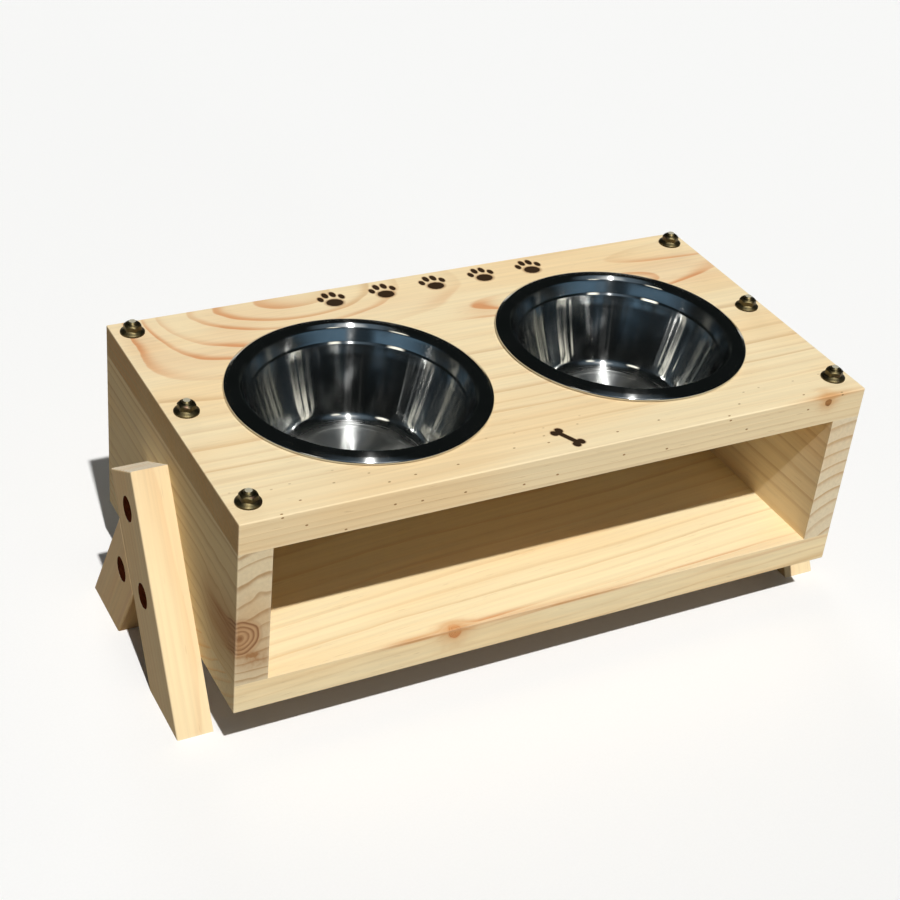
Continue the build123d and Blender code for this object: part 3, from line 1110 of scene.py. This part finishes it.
ROD_PLACES = [(side, place) for side in ("left", "right") for place in ("front", "middle", "rear")]
for side, place in ROD_PLACES:
    make_nut(side, place, "top")
    make_nut(side, place, "bottom")
print("nuts:", 2 * len(ROD_PLACES), "points on each:", nut_grid().shape[0] * nut_grid().shape[1])


# %% [markdown]
# ## Threaded rods
# A thread is a ridge wound round the rod. At a height z and an angle a, the ridge has climbed
# z / pitch - a / turn turns, and the fraction of that number says where the point lies between two
# crests: a triangle wave of it gives the depth. Only the ends show, so the rows are close together
# there and the plain middle, inside the boards, has none.

# %% Rods
# Millimetres.
ROD_RADIUS = 3.0
ROD_BEVEL = 1.0
PITCH = 1.0
THREAD_DEPTH = 0.5
THREADED = 9.0
ROW_STEP = 0.1
ROD_COLUMNS = 40


def rod_grid(length):
    """Rows from the top of the rod down to its foot, with both ends bevelled."""
    angle = all_round(ROD_COLUMNS)
    top = np.arange(length, length - THREADED, -ROW_STEP)
    height = np.concatenate([top, length - top[::-1]])[:, None] + 0 * angle
    turns = height / PITCH - angle / (2 * np.pi)
    wave = 2 * np.abs(turns % 1 - 0.5)
    radius = ROD_RADIUS - THREAD_DEPTH * np.clip(1.25 * wave - 0.12, 0, 1)
    to_end = np.minimum(height, length - height)
    return at_radius(np.minimum(radius, ROD_RADIUS - ROD_BEVEL + to_end), angle, height)


def make_rod(side, place):
    node = f"{side}_{place}_tie_rod"
    low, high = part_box(node)
    length = (high[2] - low[2]) * 1000
    foot = middle_at(low, high, low[2])
    poles = np.array([[0, 0, length], [0, 0, 0]]) / 1000 + foot
    rod = skin(f"{node}_threaded", rod_grid(length) / 1000 + foot, poles, rod_zinc)
    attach(rod, "case")
    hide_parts(node)
    return rod


for side, place in ROD_PLACES:
    rod = make_rod(side, place)
print("rods:", len(ROD_PLACES), "faces on each:", len(rod.data.polygons))


# %% [markdown]
# ## Screws and caps
# Each strip is screwed on, and a red-brown cap hides each screw. The caps are moulded, with a faint
# wood pattern printed into them, and they are rubbed paler in places. The screws are bright zinc
# with fine turning lines, and only show when a cap is out.

# %% Cap and screw finishes
def make_cap_brown():
    material, tree, shader = new_material("cap_brown")
    place = add(tree, "TexCoord", out="Object")
    streaks = noise(place, (300, 160, 900), 3.0)
    clouds = noise(place, (240, 240, 240))
    colour = blend(ramp(streaks, 0.35, 0.7), screen(98, 46, 26), screen(64, 28, 14))
    colour = blend(ramp(clouds, 0.5, 0.75, 0.0, 0.4), colour, screen(126, 68, 42))
    rough = clouds * 0.2 + 0.45
    finish_surface(shader, streaks, 0.00004, Base_Color=colour, Roughness=rough)
    feed(shader, {"Specular IOR Level": 0.0})
    return material


def make_screw_zinc():
    material, tree, shader = new_material("screw_zinc")
    place = add(tree, "TexCoord", out="Object")
    lines = noise(place, (2400, 400, 400))
    colour = blend(lines, screen(176, 178, 182), screen(206, 206, 204))
    rough = lines * 0.25 + 0.2
    finish_surface(shader, lines, 0.00003, Base_Color=colour, Roughness=rough)
    feed(shader, {"Metallic": 1.0})
    return material


def dress_fixings():
    """Finds the caps and screws by the end of their names."""
    finishes = {"_leg_cap": make_cap_brown(), "_leg_screw": make_screw_zinc()}
    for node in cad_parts:
        for ending, material in finishes.items():
            if node.endswith(ending):
                dress(node, material)


dress_fixings()
print("caps and screws:", sum(node.endswith(("_leg_cap", "_leg_screw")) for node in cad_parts))


# %% [markdown]
# ## Floor
# The floor is plain and pale. It has to catch the shadow, so it is a real surface. What the eye and
# the polished steel see is pale, but light that bounces from it to the wood meets a darker floor:
# otherwise a white floor would light the object from below like a lamp. From underneath it is clear.

# %% Floor
FLOOR_HALF = 30.0
FLOOR_PALE = (0.95, 0.94, 0.92, 1)
FLOOR_PALEST = (0.99, 0.98, 0.96, 1)
FLOOR_FOR_BOUNCES = (0.24, 0.19, 0.13, 1)


def make_floor_finish():
    material, tree, shader = new_material("floor_paint")
    path = add(tree, "LightPath", out=None)
    mirrored = calc("MAXIMUM", path["Is Glossy Ray"], path["Is Transmission Ray"])
    seen = calc("MAXIMUM", path["Is Camera Ray"], mirrored)
    place = add(tree, "TexCoord", out="Object")
    grit = noise(place, (700, 700, 700))
    colour = blend(seen, FLOOR_FOR_BOUNCES, blend(grit, FLOOR_PALE, FLOOR_PALEST))
    feed(shader, {"Base Color": colour, "Roughness": 0.9, "Specular IOR Level": 0.0})
    below = add(tree, "NewGeometry", out="Backfacing")
    clear = add(tree, "BsdfTransparent")
    mixed = add(tree, "MixShader", {0: below, 1: wires_from(shader, tree)[0], 2: clear})
    feed(tree.nodes["Material Output"], {"Surface": mixed})
    return material


def make_floor():
    points = np.array([[-1, -1, 0], [1, -1, 0], [1, 1, 0], [-1, 1, 0]]) * FLOOR_HALF
    mesh = bpy.data.meshes.new("floor")
    mesh.from_pydata(points, [], [[0, 1, 2, 3]])
    mesh.materials.append(make_floor_finish())
    floor = bpy.data.objects.new("floor", mesh)
    bpy.context.scene.collection.objects.link(floor)
    floor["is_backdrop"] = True


make_floor()
print("floor, m:", 2 * FLOOR_HALF)


# %% [markdown]
# ## Light
# The key lamp stands high in front, a little to the left. A weak lamp in front on the right opens the
# shadows, and another behind keeps the far side readable. All are sun lamps, so every part of the
# object gets the same light, and a wider disc gives a softer edge. The two helpers are hidden from
# reflections, where they would show as extra spots. The sky is nearly black, with a band of blue low
# down behind the camera and a glow round the key lamp. Two softboxes hang in it that only polished
# surfaces show. The wood hardly notices, but all this is what polished bowls are made of to the eye.

# %% Lamps
def make_lamp(name, travel, strength, width, glossy=False):
    """A sun lamp: travel is the way its light goes, width its disc in degrees."""
    data = bpy.data.lights.new(name, "SUN")
    data.energy = strength
    data.angle = np.radians(width)
    lamp = bpy.data.objects.new(name, data)
    lamp.rotation_euler = Vector(travel).to_track_quat("-Z", "Y").to_euler()
    lamp.visible_glossy = glossy
    bpy.context.scene.collection.objects.link(lamp)


KEY_TRAVEL = (0.105, 0.605, -1.0)
make_lamp("key", KEY_TRAVEL, 3.22, 1.2, glossy=True)
make_lamp("front_fill", (-0.15, 1.0, -0.10), 0.25, 12.0)
make_lamp("back_fill", (-0.20, -1.0, -0.15), 0.80, 20.0)
print("lamps:", [lamp.name for lamp in bpy.data.lights])


# %% Sky
OVERHEAD = (0.009, 0.011, 0.011, 1)
HORIZON = (0.032, 0.036, 0.034, 1)
HORIZON_TOP = 0.20
BLUE_SKY = (0.150, 0.255, 0.365, 1)
TO_BLUE = (-0.50, -0.87, 0)
BAND_STARTS = (0.12, 0.20)
BAND_ENDS = (0.24, 0.36)
BLUE_ABOVE_BAND = 0.08
BLUE_ENDS = (0.70, 0.88)
TO_STAND = (-0.42, -0.90, 0.16)
STAND_EDGE = (0.955, 0.992)
BLUE_IN_STAND = 0.15
SKY_GLOW = (0.15, 0.20, 0.25, 1)
LAMP_GLOW = (0.90, 0.92, 0.95, 1)
SOFTBOX = (2.60, 2.45, 2.15, 1)
SOFTBOXES = [((-0.668, -0.297, 0.682), 7.0), ((0.078, -0.739, 0.669), 4.5)]
SOFTBOX_EDGE = 2.5


def blue_share(look):
    """How blue the sky is: a low band on the camera's side, a trace above it, and a dark stand in it."""
    height = parts_of(look)[2]
    band = ramp(height, *BAND_STARTS) * ramp(height, *BAND_ENDS, 1.0, BLUE_ABOVE_BAND)
    side = ramp(height, *BLUE_ENDS, 1.0, 0.0) * ramp(towards(look, TO_BLUE), 0.0, 0.95)
    return band * side * ramp(towards(look, TO_STAND), *STAND_EDGE, 1.0, BLUE_IN_STAND)


def with_softboxes(look, colour):
    """Adds the softboxes, whose half widths are in degrees, where a polished surface looks at the sky.

    As lamps they would light the left end as well.
    """
    mirrored = add(look.tree, "LightPath", out="Is Glossy Ray")
    for direction, half_width in SOFTBOXES:
        widths = np.radians([half_width + SOFTBOX_EDGE, half_width - SOFTBOX_EDGE])
        inside = ramp(towards(look, direction), *np.cos(widths).tolist())
        colour = blend(mirrored * inside, colour, SOFTBOX)
    return colour


def make_sky():
    """Dark, with the blue band, a glow round the key lamp that has a bright middle, and softboxes."""
    world = bpy.data.worlds.new("sky")
    world.use_nodes = True
    tree = world.node_tree
    look = add(tree, "TexCoord", out="Generated")
    colour = blend(ramp(parts_of(look)[2], 0.0, HORIZON_TOP), HORIZON, OVERHEAD)
    colour = blend(blue_share(look), colour, BLUE_SKY)
    to_key = towards(look, -Vector(KEY_TRAVEL))
    colour = blend(ramp(to_key, 0.84, 0.995), colour, SKY_GLOW)
    colour = blend(ramp(to_key, 0.975, 0.9995), colour, LAMP_GLOW)
    feed(tree.nodes["Background"], {"Color": with_softboxes(look, colour), "Strength": 1.0})
    bpy.context.scene.world = world


make_sky()
bpy.context.scene.view_settings.view_transform = "Standard"
print("sky made")


# %% [markdown]
# ## Hand over
# The finished model may not be larger than the CAD model, so both boxes are written down side by
# side.

# %% Finish
drawn_box = [list(corner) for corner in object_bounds()]
growth = np.array([cad_box[0], drawn_box[1]]) - np.array([drawn_box[0], cad_box[1]])
print("growth beyond the CAD box, mm:", np.round(growth * 1000, 2).tolist())
